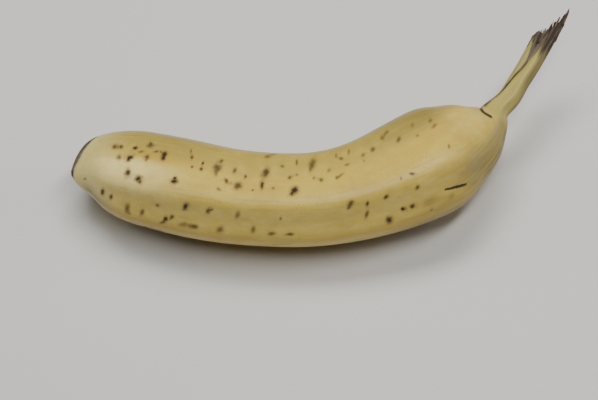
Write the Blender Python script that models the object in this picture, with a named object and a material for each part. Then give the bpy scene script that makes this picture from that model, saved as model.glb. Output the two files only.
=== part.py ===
"""A ripe plantain, picked as a single finger and lying on its side.

The fruit grew as one piece, so it is one solid: the blossom end with its dry scar, the
five-ridged body, the shoulder with the fold where the stem sets in, and the stem with the
ragged, fibrous end where it was torn from its bunch.

Frame: +X runs from the blossom end to the stem, +Y towards the inner side of the bend,
+Z up. The origin is on the table, under the middle of the fruit's box.
"""

import math

import bmesh
import bpy
import numpy as np
from mathutils import Vector

MM = 0.001

# Driving dimensions. Lengths along and across the fruit are shares of LENGTH, and heights
# and half thicknesses are shares of THICKNESS, so the fruit is resized here. With its longest
# splinter the fruit is about 6 mm longer than LENGTH.
LENGTH = 250 * MM
THICKNESS = 54.6 * MM

# Stations along the fruit, from the blossom end to the tear: how far along, how far towards
# the inner side of the bend, the height of the middle above the table, and half the thickness.
STATIONS = [
    # along, across, height, half thickness
    (0.000, 0.075, 0.425, 0.405),
    (0.036, 0.084, 0.437, 0.422),
    (0.080, 0.075, 0.447, 0.436),
    (0.145, 0.061, 0.444, 0.444),
    (0.230, 0.036, 0.455, 0.459),
    (0.320, 0.015, 0.447, 0.451),
    (0.410, 0.006, 0.440, 0.444),
    (0.490, 0.007, 0.442, 0.445),
    (0.560, 0.019, 0.456, 0.459),
    (0.620, 0.038, 0.478, 0.484),
    (0.680, 0.064, 0.507, 0.512),
    (0.727, 0.091, 0.509, 0.514),
    (0.763, 0.117, 0.500, 0.457),
    (0.801, 0.144, 0.509, 0.376),
    (0.828, 0.166, 0.527, 0.281),
    (0.849, 0.189, 0.555, 0.181),
    (0.863, 0.210, 0.582, 0.125),
    (0.887, 0.233, 0.614, 0.112),
    (0.907, 0.263, 0.660, 0.105),
    (0.927, 0.294, 0.705, 0.107),
    (0.953, 0.340, 0.751, 0.111),
]
NECK_STATION = 15.15  # where the shoulder ends and the stem begins
TEAR_STATION = 18.9  # the slant of the tear grows from here on
LAST_STATION = len(STATIONS) - 1

# The blossom end is a blunt, slightly pointed dome that closes on a dry scar.
DOME_LENGTH = 0.160 * LENGTH
DOME_FULLNESS = 2.2
DOME_POINT = 0.62
DOME_FACING = Vector((1, 0.08, 0)).normalized()
DOME_STATIONS = 4  # where the sections have turned from the dome's facing to the bend's
SCAR_RADIUS = 1.5 * MM
SCAR_DEPTH = 0.5 * MM

# Five ridges run the length of the skin. Angles go round the section from the outer side of
# the bend, over the top, and turn by TWIST from one end of the body to the other.
RIDGES_DEG = (3, 50, 116, 192, 280)
RIDGE_HEIGHT = 0.045
RIDGE_SPAN_DEG = 66  # wider faces are hollower between their ridges, and narrower ones fuller
CREST_HEIGHT = 0.010
CREST_DEG = 8
TWIST_DEG = 16

# The fold at the neck is a short groove across the upper side, which bends towards the stem as
# it goes over to the inner side.
FOLD_STATION = 14.68
FOLD_BEND = 0.60
FOLD_BEND_DEG = (98, 145)  # where the bend starts and ends
FOLD_DEG = 108
FOLD_SPREAD_DEG = 50
FOLD_DEPTH = 1.6 * MM
FOLD_WIDTH = 0.20  # in stations

# The stem has a groove along its upper inner side, which starts at the fold and turns up on
# top as it runs to the tear.
GROOVE_DEG = 139
GROOVE_TURN_DEG = 60
GROOVE_TURN_STATIONS = (16.9, 20.6)
GROOVE_OPEN_STATION = 17.5  # where it has its full depth
GROOVE_SPREAD_DEG = 17
GROOVE_DEPTH = 0.28

# The tear runs slantwise across the stem, low on the inner side and high on the outer.
TEAR_RISE = 12.5 * MM
TEAR_JAGS = 9
TEAR_JAG_HEIGHT = 1.6 * MM
TEAR_SINK = 3.0 * MM

# Splinters of fibre stand out of the tear: how far round from the middle of the outer side,
# how far out from the stem's axis, the length beyond the tear, the thickness, and the lean
# towards the stem's axis.
SPLINTERS = [
    # round, out, length, thickness, lean
    (-8, 0.66, 16.0 * MM, 4.2 * MM, 0.01),
    (30, 0.55, 9.0 * MM, 3.0 * MM, 0.05),
    (66, 0.46, 5.4 * MM, 2.4 * MM, 0.00),
    (-48, 0.60, 8.0 * MM, 2.6 * MM, 0.16),
    (-88, 0.56, 4.6 * MM, 2.2 * MM, 0.10),
    (100, 0.62, 5.6 * MM, 2.4 * MM, -0.06),
    (-128, 0.56, 4.4 * MM, 2.4 * MM, 0.06),
    (140, 0.60, 4.6 * MM, 2.6 * MM, -0.10),
    (172, 0.64, 3.6 * MM, 2.4 * MM, -0.20),
    (204, 0.62, 4.4 * MM, 2.4 * MM, -0.16),
    (20, 0.16, 5.0 * MM, 2.6 * MM, 0.10),
    (170, 0.20, 4.6 * MM, 2.6 * MM, -0.12),
]
SPLINTER_ROOT = 5.0 * MM
SPLINTER_SIDES = 5

PRESSED = 0.7 * MM  # how much the fruit's own weight flattens its underside

SIDES = 48
RINGS_PER_STATION = 3
DOME_RINGS = 9
FOLD_RINGS = 10

PEEL_COLOUR = (0.50, 0.36, 0.09, 1.0)


def clear_scene():
    for item in list(bpy.data.objects):
        bpy.data.objects.remove(item, do_unlink=True)


def smooth_through(places, values):
    """A natural cubic spline through the values, as a function of place."""
    gaps = np.diff(places)
    slopes = np.diff(values) / gaps
    count = len(places)
    system = np.zeros((count, count))
    right = np.zeros(count)
    system[0, 0] = system[-1, -1] = 1
    for i in range(1, count - 1):
        system[i, i - 1 : i + 2] = gaps[i - 1], 2 * (gaps[i - 1] + gaps[i]), gaps[i]
        right[i] = 6 * (slopes[i] - slopes[i - 1])
    bends = np.linalg.solve(system, right)

    def at(place):
        i = int(np.clip(np.searchsorted(places, place) - 1, 0, count - 2))
        gap, before, after = gaps[i], place - places[i], places[i + 1] - place
        curved = bends[i] * after**3 + bends[i + 1] * before**3
        straight = (values[i] / gap - bends[i] * gap / 6) * after
        straight += (values[i + 1] / gap - bends[i + 1] * gap / 6) * before
        return float(curved / (6 * gap) + straight)

    return at


def smooth_step(value, low, high):
    share = min(1.0, max(0.0, (value - low) / (high - low)))
    return share * share * (3 - 2 * share)


def bump(value, spread):
    return math.exp(-((value / spread) ** 2))


def turn_between(angle, other):
    """The angle from other to angle, from -180 to 180 degrees."""
    return (angle - other + 180) % 360 - 180


class Fruit:
    """Where the middle, the thickness and the section of the fruit are at each station."""

    def __init__(self):
        places = np.arange(len(STATIONS), dtype=float)
        along, across, height, half = np.array(STATIONS).T
        self.along = smooth_through(places, along * LENGTH)
        self.across = smooth_through(places, across * LENGTH)
        self.height = smooth_through(places, height * THICKNESS)
        self.half = smooth_through(places, half * THICKNESS)

    def middle(self, station):
        return Vector((self.along(station), self.across(station), self.height(station)))

    def facing(self, station):
        """The direction that the section at a station faces, towards the stem."""
        ahead = min(station + 0.25, LAST_STATION)
        bend = (self.middle(ahead) - self.middle(ahead - 0.5)).normalized()
        return DOME_FACING.lerp(bend, smooth_step(station, 0, DOME_STATIONS)).normalized()

    def axes(self, station):
        """Unit vectors towards the outer side of the bend and upwards, in the section."""
        facing = self.facing(station)
        outward = facing.cross(Vector((0, 0, 1))).normalized()
        return outward, outward.cross(facing)

    def half_thickness(self, station):
        share = min(1.0, self.along(station) / DOME_LENGTH)
        dome = (1 - (1 - share) ** DOME_FULLNESS) ** DOME_POINT
        return max(self.half(station) * dome, SCAR_RADIUS)

    def ridged(self, station, degrees):
        """How far out the skin is at an angle, as a share of the half thickness."""
        twist = TWIST_DEG * (station / LAST_STATION - 0.4)
        ridges = [(ridge + twist) % 360 for ridge in RIDGES_DEG]
        ridges.sort()
        after = next((r for r in ridges if r > degrees % 360), ridges[0] + 360)
        before = next((r for r in reversed(ridges) if r <= degrees % 360), ridges[-1] - 360)
        span = (after - before) % 360
        share = ((degrees - before) % 360) / span
        nearest = min(abs(turn_between(degrees, ridge)) for ridge in ridges)
        strength = smooth_step(station, 0.4, 3.0) * (1 + 0.2 * smooth_step(station, 12, 15))
        hollow = span / RIDGE_SPAN_DEG * (1 - math.cos(2 * math.pi * share))
        wave = RIDGE_HEIGHT * (1 - hollow)
        return 1 + strength * (wave + CREST_HEIGHT * bump(nearest, CREST_DEG))

    def dent(self, station, degrees):
        """How deep the fold at the neck and the groove along the stem are there."""
        fold_station = FOLD_STATION + FOLD_BEND * smooth_step(degrees % 360, *FOLD_BEND_DEG)
        across_fold = bump(station - fold_station, FOLD_WIDTH)
        round_fold = bump(turn_between(degrees, FOLD_DEG), FOLD_SPREAD_DEG)
        groove_deg = GROOVE_DEG - GROOVE_TURN_DEG * smooth_step(station, *GROOVE_TURN_STATIONS)
        round_groove = bump(turn_between(degrees, groove_deg), GROOVE_SPREAD_DEG)
        depth = GROOVE_DEPTH * smooth_step(station, NECK_STATION, GROOVE_OPEN_STATION)
        return FOLD_DEPTH * across_fold * round_fold + depth * round_groove * self.half(station)

    def tear_rise(self, station, degrees):
        """How far the torn end reaches beyond its lowest place at an angle."""
        started = smooth_step(station, TEAR_STATION, LAST_STATION)
        outer_side = 0.5 + 0.5 * math.cos(math.radians(degrees))
        jag = abs((degrees / 360 * TEAR_JAGS) % 1 - 0.5) * 2
        return started * (TEAR_RISE * outer_side + TEAR_JAG_HEIGHT * jag * started**2)

    def skin_point(self, station, degrees, inset=1.0, sunk=0.0):
        """A point of the skin. An inset below 1 is inside it, and sunk is back from the end."""
        outward, upward = self.axes(station)
        angle = math.radians(degrees)
        radius = self.half_thickness(station) * self.ridged(station, degrees)
        radius = (radius - self.dent(station, degrees)) * inset
        point = self.middle(station) + radius * (math.cos(angle) * outward + math.sin(angle) * upward)
        return point + self.facing(station) * (self.tear_rise(station, degrees) - sunk)


def ring_stations():
    """The stations that get a ring of points, closer together in the dome and at the neck."""
    dome = [2.0 * (i / DOME_RINGS) ** 1.6 for i in range(DOME_RINGS)]
    body = np.arange(2.0, LAST_STATION + 1e-6, 1 / RINGS_PER_STATION).tolist()
    fold = np.linspace(FOLD_STATION - FOLD_WIDTH * 1.2, FOLD_STATION + FOLD_BEND + FOLD_WIDTH * 1.2, FOLD_RINGS)
    fold = fold.tolist()
    body = [s for s in body if all(abs(s - f) > FOLD_WIDTH / 2 for f in fold)]
    return sorted(dome + body + fold)


def make_fruit(name):
    """The whole fruit as one loft, closed by the scar at one end and the tear at the other."""
    fruit = Fruit()
    turns = [360 * i / SIDES for i in range(SIDES)]
    rings = [[fruit.skin_point(0, t, 0.45, SCAR_DEPTH * -0.6) for t in turns]]
    rings += [[fruit.skin_point(s, t) for t in turns] for s in ring_stations()]
    rings += [[fruit.skin_point(LAST_STATION, t, 0.68, TEAR_SINK * 0.6) for t in turns]]
    rings += [[fruit.skin_point(LAST_STATION, t, 0.34, TEAR_SINK) for t in turns]]

    mesh = bpy.data.meshes.new(name)
    shape = bmesh.new()
    loops = [[shape.verts.new(point) for point in ring] for ring in rings]
    for lower, upper in zip(loops, loops[1:]):
        for i in range(SIDES):
            j = (i + 1) % SIDES
            shape.faces.new((lower[i], upper[i], upper[j], lower[j]))
    shape.faces.new(loops[0])
    shape.faces.new(reversed(loops[-1]))
    bmesh.ops.recalc_face_normals(shape, faces=shape.faces)
    shape.to_mesh(mesh)
    shape.free()
    return bpy.data.objects.new(name, mesh)


def make_splinters(collection):
    """One slim cone for each splinter, its root sunk in the torn end."""
    fruit = Fruit()
    facing = fruit.facing(LAST_STATION)
    outward, upward = fruit.axes(LAST_STATION)
    for number, (round_deg, out, length, thickness, lean) in enumerate(SPLINTERS):
        root = fruit.skin_point(LAST_STATION, round_deg, out, SPLINTER_ROOT)
        angle = math.radians(round_deg)
        side = math.cos(angle) * outward + math.sin(angle) * upward
        direction = (facing - lean * side).normalized()
        whole = length + SPLINTER_ROOT
        bpy.ops.mesh.primitive_cone_add(
            vertices=SPLINTER_SIDES,
            radius1=thickness / 2,
            radius2=0.35 * MM,
            depth=whole,
            location=root + direction * whole / 2,
            rotation=direction.to_track_quat("Z", "Y").to_euler(),
        )
        splinter = bpy.context.object
        splinter.name = f"splinter_{number}"
        for home in splinter.users_collection:
            home.objects.unlink(splinter)
        collection.objects.link(splinter)


def join_splinters(fruit, collection):
    """Fuses the splinters to the stem, so that the fruit stays one body."""
    join = fruit.modifiers.new("join_splinters", "BOOLEAN")
    join.operation = "UNION"
    join.operand_type = "COLLECTION"
    join.collection = collection
    join.solver = "EXACT"
    bpy.context.view_layer.update()
    joined = bpy.data.meshes.new_from_object(fruit.evaluated_get(bpy.context.evaluated_depsgraph_get()))
    fruit.modifiers.clear()
    fruit.data = joined
    for item in list(collection.objects):
        bpy.data.objects.remove(item, do_unlink=True)
    bpy.data.collections.remove(collection)


def press_flat(fruit):
    """Cuts the underside off flat where the fruit's weight presses it on the table, and puts
    the origin on that flat, under the middle of the fruit's box."""
    shape = bmesh.new()
    shape.from_mesh(fruit.data)
    table = min(v.co.z for v in shape.verts) + PRESSED
    cut = bmesh.ops.bisect_plane(
        shape,
        geom=shape.verts[:] + shape.edges[:] + shape.faces[:],
        plane_co=(0, 0, table),
        plane_no=(0, 0, -1),
        dist=1e-6,
        clear_outer=True,
    )
    edges = [item for item in cut["geom_cut"] if isinstance(item, bmesh.types.BMEdge)]
    bmesh.ops.holes_fill(shape, edges=edges, sides=0)
    lows = [min(v.co[axis] for v in shape.verts) for axis in range(3)]
    highs = [max(v.co[axis] for v in shape.verts) for axis in range(3)]
    middle = Vector(((lows[0] + highs[0]) / 2, (lows[1] + highs[1]) / 2, table))
    bmesh.ops.translate(shape, verts=shape.verts, vec=-middle)
    shape.to_mesh(fruit.data)
    shape.free()


def peel_material():
    material = bpy.data.materials.new("plantain_peel")
    material.use_nodes = True
    shader = material.node_tree.nodes["Principled BSDF"]
    shader.inputs["Base Color"].default_value = PEEL_COLOUR
    shader.inputs["Roughness"].default_value = 0.48
    shader.inputs["Metallic"].default_value = 0.0
    return material


def main():
    clear_scene()
    parts = bpy.data.collections.new("plantain_fruit")
    splinters = bpy.data.collections.new("splinters")
    bpy.context.scene.collection.children.link(parts)
    bpy.context.scene.collection.children.link(splinters)

    fruit = make_fruit("plantain")
    parts.objects.link(fruit)
    make_splinters(splinters)
    join_splinters(fruit, splinters)
    press_flat(fruit)
    fruit.data.materials.append(peel_material())
    fruit.data.shade_smooth()
    fruit.data.set_sharp_from_angle(angle=math.radians(40))


main()
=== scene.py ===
import math
import random

import bmesh
import bpy
import numpy as np
from mathutils import Matrix, Vector, noise


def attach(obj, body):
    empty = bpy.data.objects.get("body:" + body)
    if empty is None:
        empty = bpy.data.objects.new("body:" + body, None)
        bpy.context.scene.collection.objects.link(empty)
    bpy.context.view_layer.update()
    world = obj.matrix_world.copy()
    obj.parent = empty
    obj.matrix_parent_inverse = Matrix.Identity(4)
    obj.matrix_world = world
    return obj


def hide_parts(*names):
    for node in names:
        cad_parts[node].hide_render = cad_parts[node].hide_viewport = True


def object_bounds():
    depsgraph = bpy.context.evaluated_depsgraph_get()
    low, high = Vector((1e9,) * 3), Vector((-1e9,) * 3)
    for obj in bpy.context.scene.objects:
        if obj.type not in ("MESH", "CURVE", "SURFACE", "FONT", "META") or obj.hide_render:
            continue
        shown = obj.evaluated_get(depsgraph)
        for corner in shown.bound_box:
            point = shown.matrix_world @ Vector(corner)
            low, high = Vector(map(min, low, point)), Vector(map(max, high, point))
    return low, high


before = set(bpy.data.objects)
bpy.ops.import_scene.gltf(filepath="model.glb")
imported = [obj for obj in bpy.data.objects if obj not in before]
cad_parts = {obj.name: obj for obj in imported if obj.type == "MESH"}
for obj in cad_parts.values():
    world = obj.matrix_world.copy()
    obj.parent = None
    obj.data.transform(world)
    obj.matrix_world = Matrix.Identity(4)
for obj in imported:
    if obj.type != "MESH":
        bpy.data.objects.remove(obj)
cad_low, cad_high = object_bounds()

# Camera
# The view is from a step away, 55 degrees above the table, on the outer side of the bend.
# It is made first, because the flecks of the peel are placed where this view shows them.
PICTURE_WIDTH_PX = 598
PICTURE_HEIGHT_PX = 400
FOCAL_LENGTH_PX = 2000
SENSOR_WIDTH_MM = 36
CAMERA_DISTANCE = 1.0
CAMERA_ELEVATION = math.radians(55)
AIM = Vector((cad_low.x + 0.115, cad_low.y + 0.0266, 0.024))

back = Vector((0, -math.cos(CAMERA_ELEVATION), math.sin(CAMERA_ELEVATION)))
camera_data = bpy.data.cameras.new("camera")
camera_data.sensor_width = SENSOR_WIDTH_MM
camera_data.lens = FOCAL_LENGTH_PX * SENSOR_WIDTH_MM / PICTURE_WIDTH_PX
camera = bpy.data.objects.new("camera", camera_data)
camera.location = AIM + back * CAMERA_DISTANCE
camera.rotation_euler = back.to_track_quat("Z", "Y").to_euler()
bpy.context.scene.collection.objects.link(camera)
bpy.context.scene.camera = camera


def in_picture(points):
    """Where points show in the picture, in pixels across and down."""
    picture_up = np.array((0, math.sin(CAMERA_ELEVATION), math.cos(CAMERA_ELEVATION)))
    seen = points - np.array(camera.location)
    depth = -seen @ np.array(back)
    across = PICTURE_WIDTH_PX / 2 + FOCAL_LENGTH_PX * seen[:, 0] / depth
    down = PICTURE_HEIGHT_PX / 2 - FOCAL_LENGTH_PX * (seen @ picture_up) / depth
    return np.stack((across, down), axis=1)


# Peel
# The peel is the fruit's whole outer skin, from the blossom end to the torn stem: five ridges
# along a thick, bent body, a fold where the stem sets in, and a groove along the stem. It is
# one closed skin, drawn out ring by ring and then set to the fruit's sections.
MM = 0.001
LENGTH = 250 * MM
THICKNESS = 54.6 * MM
STATIONS = [
    # along, across, height, half thickness
    (0.000, 0.075, 0.425, 0.405),
    (0.036, 0.084, 0.437, 0.422),
    (0.080, 0.075, 0.447, 0.436),
    (0.145, 0.061, 0.444, 0.444),
    (0.230, 0.036, 0.455, 0.459),
    (0.320, 0.015, 0.447, 0.451),
    (0.410, 0.006, 0.440, 0.444),
    (0.490, 0.007, 0.442, 0.445),
    (0.560, 0.019, 0.456, 0.459),
    (0.620, 0.038, 0.478, 0.484),
    (0.680, 0.064, 0.507, 0.512),
    (0.727, 0.091, 0.509, 0.514),
    (0.763, 0.117, 0.500, 0.457),
    (0.801, 0.144, 0.509, 0.376),
    (0.828, 0.166, 0.527, 0.281),
    (0.849, 0.189, 0.555, 0.181),
    (0.863, 0.210, 0.582, 0.125),
    (0.887, 0.233, 0.614, 0.112),
    (0.907, 0.263, 0.660, 0.105),
    (0.927, 0.294, 0.705, 0.107),
    (0.953, 0.340, 0.751, 0.111),
]
LAST_STATION = len(STATIONS) - 1
NECK_STATION = 15.15
TEAR_STATION = 18.9

DOME_LENGTH = 0.160 * LENGTH
DOME_FULLNESS = 2.2
DOME_POINT = 0.62
DOME_FACING = np.array((1, 0.08, 0)) / math.hypot(1, 0.08)
DOME_STATIONS = 4
SCAR_RADIUS = 1.5 * MM
SCAR_DEPTH = 0.5 * MM
SCAR_WALL = 0.6

RIDGES_DEG = np.array((3, 50, 116, 192, 280))
RIDGE_HEIGHT = 0.045
RIDGE_SPAN_DEG = 66
RIDGE_START = (0.4, 3.0)
SHOULDER_GAIN = 0.2
SHOULDER_STATIONS = (12, 15)
CREST_HEIGHT = 0.010
CREST_DEG = 8
TWIST_DEG = 16
TWIST_MIDDLE = 0.4

FOLD_STATION = 14.68
FOLD_BEND = 0.60
FOLD_BEND_DEG = (98, 145)
FOLD_DEG = 108
FOLD_SPREAD_DEG = 50
FOLD_DEPTH = 1.6 * MM
FOLD_WIDTH = 0.20

GROOVE_DEG = 139
GROOVE_TURN_DEG = 60
GROOVE_TURN_STATIONS = (16.9, 20.6)
GROOVE_OPEN_STATION = 17.5
GROOVE_SPREAD_DEG = 17
GROOVE_DEPTH = 0.28

TEAR_RISE = 12.5 * MM
TEAR_JAGS = 9
TEAR_JAG_HEIGHT = 1.6 * MM
FINE_JAGS = 37
FINE_JAG_HEIGHT = 1.5 * MM
TEAR_SINK = 3.0 * MM
TEAR_WALL = 0.7

PRESSED = 0.7 * MM

ROUND_STEPS = 192
CUTS_PER_STATION = 15
STATION_STEP = LENGTH / LAST_STATION
TIP_CROWDING = 1.6
CROWDED_STATIONS = 2
BEND_REACH = 0.25
RUN_STEPS = 801


def smooth_through(values):
    """A natural cubic spline through values that are one station apart."""
    count = len(values)
    system = np.eye(count)
    right = np.zeros(count)
    for i in range(1, count - 1):
        system[i, i - 1 : i + 2] = 1, 4, 1
        right[i] = 6 * (values[i + 1] - 2 * values[i] + values[i - 1])
    bends = np.linalg.solve(system, right)

    def at(station):
        i = np.clip(np.floor(station).astype(int), 0, count - 2)
        before = station - i
        after = 1 - before
        curved = bends[i] * (after**3 - after) + bends[i + 1] * (before**3 - before)
        return curved / 6 + values[i] * after + values[i + 1] * before

    return at


def smooth_step(value, low, high):
    share = np.clip((value - low) / (high - low), 0, 1)
    return share * share * (3 - 2 * share)


def bump(value, spread):
    return np.exp(-((value / spread) ** 2))


def turn_between(angle, other):
    return (angle - other + 180) % 360 - 180


def unit(vectors):
    return vectors / np.linalg.norm(vectors, axis=-1, keepdims=True)


def noise_at(places, stretch, seed):
    """Smooth noise from -1 to 1 at each place, which is first stretched and moved by the seed."""
    stretched = places * np.array(stretch) + seed
    return np.array([noise.noise(Vector(place)) for place in stretched])


along, across, height, half = np.array(STATIONS).T
along_at = smooth_through(along * LENGTH)
across_at = smooth_through(across * LENGTH)
height_at = smooth_through(height * THICKNESS)
half_at = smooth_through(half * THICKNESS)


def middle(station):
    return np.stack((along_at(station), across_at(station), height_at(station)), axis=-1)


def section_axes(station):
    """Which way the sections face, and which ways are outward and up in them."""
    ahead = np.minimum(station + BEND_REACH, LAST_STATION)
    bend = unit(middle(ahead) - middle(ahead - 2 * BEND_REACH))
    share = smooth_step(station, 0, DOME_STATIONS)[..., None]
    facing = unit(DOME_FACING + (bend - DOME_FACING) * share)
    outward = unit(np.cross(facing, (0, 0, 1)))
    return facing, outward, np.cross(outward, facing)


def half_thickness(station):
    share = np.clip(along_at(station) / DOME_LENGTH, 0, 1)
    dome = (1 - (1 - share) ** DOME_FULLNESS) ** DOME_POINT
    return np.maximum(half_at(station) * dome, SCAR_RADIUS)


def twist_at(station):
    """How many degrees the ridges have turned round the fruit."""
    return TWIST_DEG * (station / LAST_STATION - TWIST_MIDDLE)


def ridge_places(station, degrees):
    """The share of the face between two ridges, its span, and how near its ridge is."""
    past = (degrees[:, None] - RIDGES_DEG - twist_at(station)[:, None]) % 360
    before = past.min(axis=1)
    after = 360 - past.max(axis=1)
    span = before + after
    return before / span, span, np.minimum(before, after)


def ridged(station, degrees):
    """How far out the skin is, as a share of the half thickness."""
    share, span, nearest = ridge_places(station, degrees)
    strength = 1 + SHOULDER_GAIN * smooth_step(station, *SHOULDER_STATIONS)
    strength = smooth_step(station, *RIDGE_START) * strength
    hollow = span / RIDGE_SPAN_DEG * (1 - np.cos(2 * math.pi * share))
    wave = RIDGE_HEIGHT * (1 - hollow)
    return 1 + strength * (wave + CREST_HEIGHT * bump(nearest, CREST_DEG))


def from_groove(station, degrees):
    """How many degrees round the stem a place is from the middle of the groove."""
    groove = GROOVE_DEG - GROOVE_TURN_DEG * smooth_step(station, *GROOVE_TURN_STATIONS)
    return turn_between(degrees, groove)


def from_fold(station, degrees):
    """How many stations a place is from the middle of the fold."""
    return station - FOLD_STATION - FOLD_BEND * smooth_step(degrees % 360, *FOLD_BEND_DEG)


def dent(station, degrees):
    """How deep the fold at the neck and the groove along the stem are."""
    across_fold = bump(from_fold(station, degrees), FOLD_WIDTH)
    round_fold = bump(turn_between(degrees, FOLD_DEG), FOLD_SPREAD_DEG)
    round_groove = bump(from_groove(station, degrees), GROOVE_SPREAD_DEG)
    depth = GROOVE_DEPTH * smooth_step(station, NECK_STATION, GROOVE_OPEN_STATION)
    return FOLD_DEPTH * across_fold * round_fold + depth * round_groove * half_at(station)


def tear_rise(station, degrees):
    """How far the torn end reaches, slantwise across the stem and in jags."""
    started = smooth_step(station, TEAR_STATION, LAST_STATION)
    outer_side = 0.5 + 0.5 * np.cos(np.radians(degrees))
    jag = np.abs((degrees / 360 * TEAR_JAGS) % 1 - 0.5) * 2
    return started * (TEAR_RISE * outer_side + TEAR_JAG_HEIGHT * jag * started**2)


def on_skin(station, degrees, inset, pushed, raised=0.0):
    """Points of the skin. Inset below 1 is inside it, pushed is towards the stem, raised is out."""
    facing, outward, upward = section_axes(station)
    radius = half_thickness(station) * ridged(station, degrees) - dent(station, degrees) + raised
    angle = np.radians(degrees)[:, None]
    side = np.cos(angle) * outward + np.sin(angle) * upward
    reach = (tear_rise(station, degrees) + pushed)[:, None]
    return middle(station) + side * (radius * inset)[:, None] + facing * reach


def deselect_all():
    bpy.ops.object.select_all(action="DESELECT")


def select_vertices(piece, chosen):
    """Selects the vertices of the piece in edit mode whose place is chosen."""
    shape = bmesh.from_edit_mesh(piece.data)
    shape.select_mode = {"VERT"}
    for vertex in shape.verts:
        vertex.select_set(bool(chosen(vertex.co)))
    shape.select_flush_mode()
    bmesh.update_edit_mesh(piece.data)


def select_edges(piece, chosen):
    """Selects the edges of the piece in edit mode whose way from end to end is chosen."""
    bpy.ops.mesh.select_mode(type="EDGE")
    bpy.ops.mesh.select_all(action="DESELECT")
    shape = bmesh.from_edit_mesh(piece.data)
    for edge in shape.edges:
        edge.select_set(bool(chosen(edge.verts[0].co - edge.verts[1].co)))
    bmesh.update_edit_mesh(piece.data)


def face_outwards():
    """Turns the faces of the active piece outwards."""
    bpy.ops.object.mode_set(mode="EDIT")
    bpy.ops.mesh.select_all(action="SELECT")
    bpy.ops.mesh.normals_make_consistent(inside=False)
    bpy.ops.object.mode_set(mode="OBJECT")


def places_of(piece):
    places = np.zeros(len(piece.data.vertices) * 3)
    piece.data.vertices.foreach_get("co", places)
    return places.reshape(-1, 3)


def keep_in_box(piece):
    """Draws in the points that stand out of the fruit's box, such as those under the table top."""
    kept = np.clip(places_of(piece), np.array(cad_low), np.array(cad_high))
    piece.data.vertices.foreach_set("co", kept.ravel())


def keep_on_points(piece, name, values):
    """Stores a value, or a vector, for each point of the piece, for its material to read."""
    kind, key = ("FLOAT_VECTOR", "vector") if values.ndim == 2 else ("FLOAT", "value")
    stored = piece.data.attributes.new(name, kind, "POINT")
    stored.data.foreach_set(key, values.astype(np.float32).ravel())


deselect_all()
bpy.ops.mesh.primitive_circle_add(
    vertices=ROUND_STEPS,
    radius=THICKNESS / 2,
    location=(-STATION_STEP, 0, 0),
    rotation=(0, math.pi / 2, 0),
)
peel = bpy.context.object
peel.name = "peel"
bpy.ops.object.transform_apply(location=True, rotation=True, scale=True)
bpy.ops.object.mode_set(mode="EDIT")
bpy.ops.mesh.select_all(action="SELECT")
for _ in range(LAST_STATION + 2):
    bpy.ops.mesh.extrude_region_move(TRANSFORM_OT_translate={"value": (STATION_STEP, 0, 0)})
select_edges(peel, lambda way: abs(way.x) > STATION_STEP / 2)
bpy.ops.mesh.subdivide(number_cuts=CUTS_PER_STATION)
bpy.ops.mesh.select_mode(type="VERT")
for end in (-STATION_STEP, LENGTH + STATION_STEP):
    select_vertices(peel, lambda place: abs(place.x - end) < STATION_STEP / 100)
    bpy.ops.mesh.merge(type="CENTER")
bpy.ops.object.mode_set(mode="OBJECT")

tube_places = places_of(peel)
ring = tube_places[:, 0] / STATION_STEP
degrees = np.degrees(np.arctan2(tube_places[:, 2], -tube_places[:, 1])) % 360
station = np.clip(ring, 0, LAST_STATION)
crowded = CROWDED_STATIONS * (station / CROWDED_STATIONS) ** TIP_CROWDING
station = np.where(station < CROWDED_STATIONS, crowded, station)
into_scar = np.clip(-ring, 0, 1)
into_tear = np.clip(ring - LAST_STATION, 0, 1)
inset = 1 - into_scar - into_tear
pushed = SCAR_DEPTH * smooth_step(into_scar, 0, SCAR_WALL)
pushed = pushed - TEAR_SINK * smooth_step(into_tear, 0, TEAR_WALL)

fine_stations = np.linspace(0, LAST_STATION, RUN_STEPS)
steps = np.linalg.norm(np.diff(middle(fine_stations), axis=0), axis=1)
length_along = np.concatenate(((0,), np.cumsum(steps)))
run = np.interp(station, fine_stations, length_along)
half_here = half_thickness(station)
angle = np.radians(degrees)
straight = np.stack((run, half_here * np.cos(angle), half_here * np.sin(angle)), axis=1)
even = np.stack((run, THICKNESS / 2 * np.cos(angle), THICKNESS / 2 * np.sin(angle)), axis=1)

plain_skin = on_skin(station, degrees, inset, pushed)
to_table = np.array((cad_low.x, cad_low.y, -PRESSED)) - plain_skin.min(axis=0)

# Skin relief
# The skin isn't even: it is slightly lumpy along the body, puckered where it gathers at the
# blossom end, and ribbed by the fibres along the stem. The torn rim is jagged and its inside
# is rough.
LUMP_HEIGHT = 0.22 * MM
LUMP_GRAIN = (32, 60, 60)
DIMPLE_HEIGHT = 0.05 * MM
DIMPLE_GRAIN = (180, 260, 260)
PUCKER_HEIGHT = 0.28 * MM
PUCKER_GRAIN = (1, 5.5, 5.5)
PUCKER_SPREAD = 1.0
RIB_HEIGHT = 0.16 * MM
RIB_GRAIN = (22, 620, 620)
RIBBED_STATIONS = (14.2, 16.4)
CIRCLE_STEP = 0.25
RIM_STATION = 19.2
JAG_GRAIN = (0, 4, 4)
JAG_SINK = 0.35
TORN_ROUGHNESS = 0.9 * MM
TORN_GRAIN = (200, 900, 900)
TORN_LIPS = [
    # round degrees, spread degrees, reach
    (150, 42, 3.0 * MM),
    (60, 48, 3.2 * MM),
    (-8, 38, 4.6 * MM),
]

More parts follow.
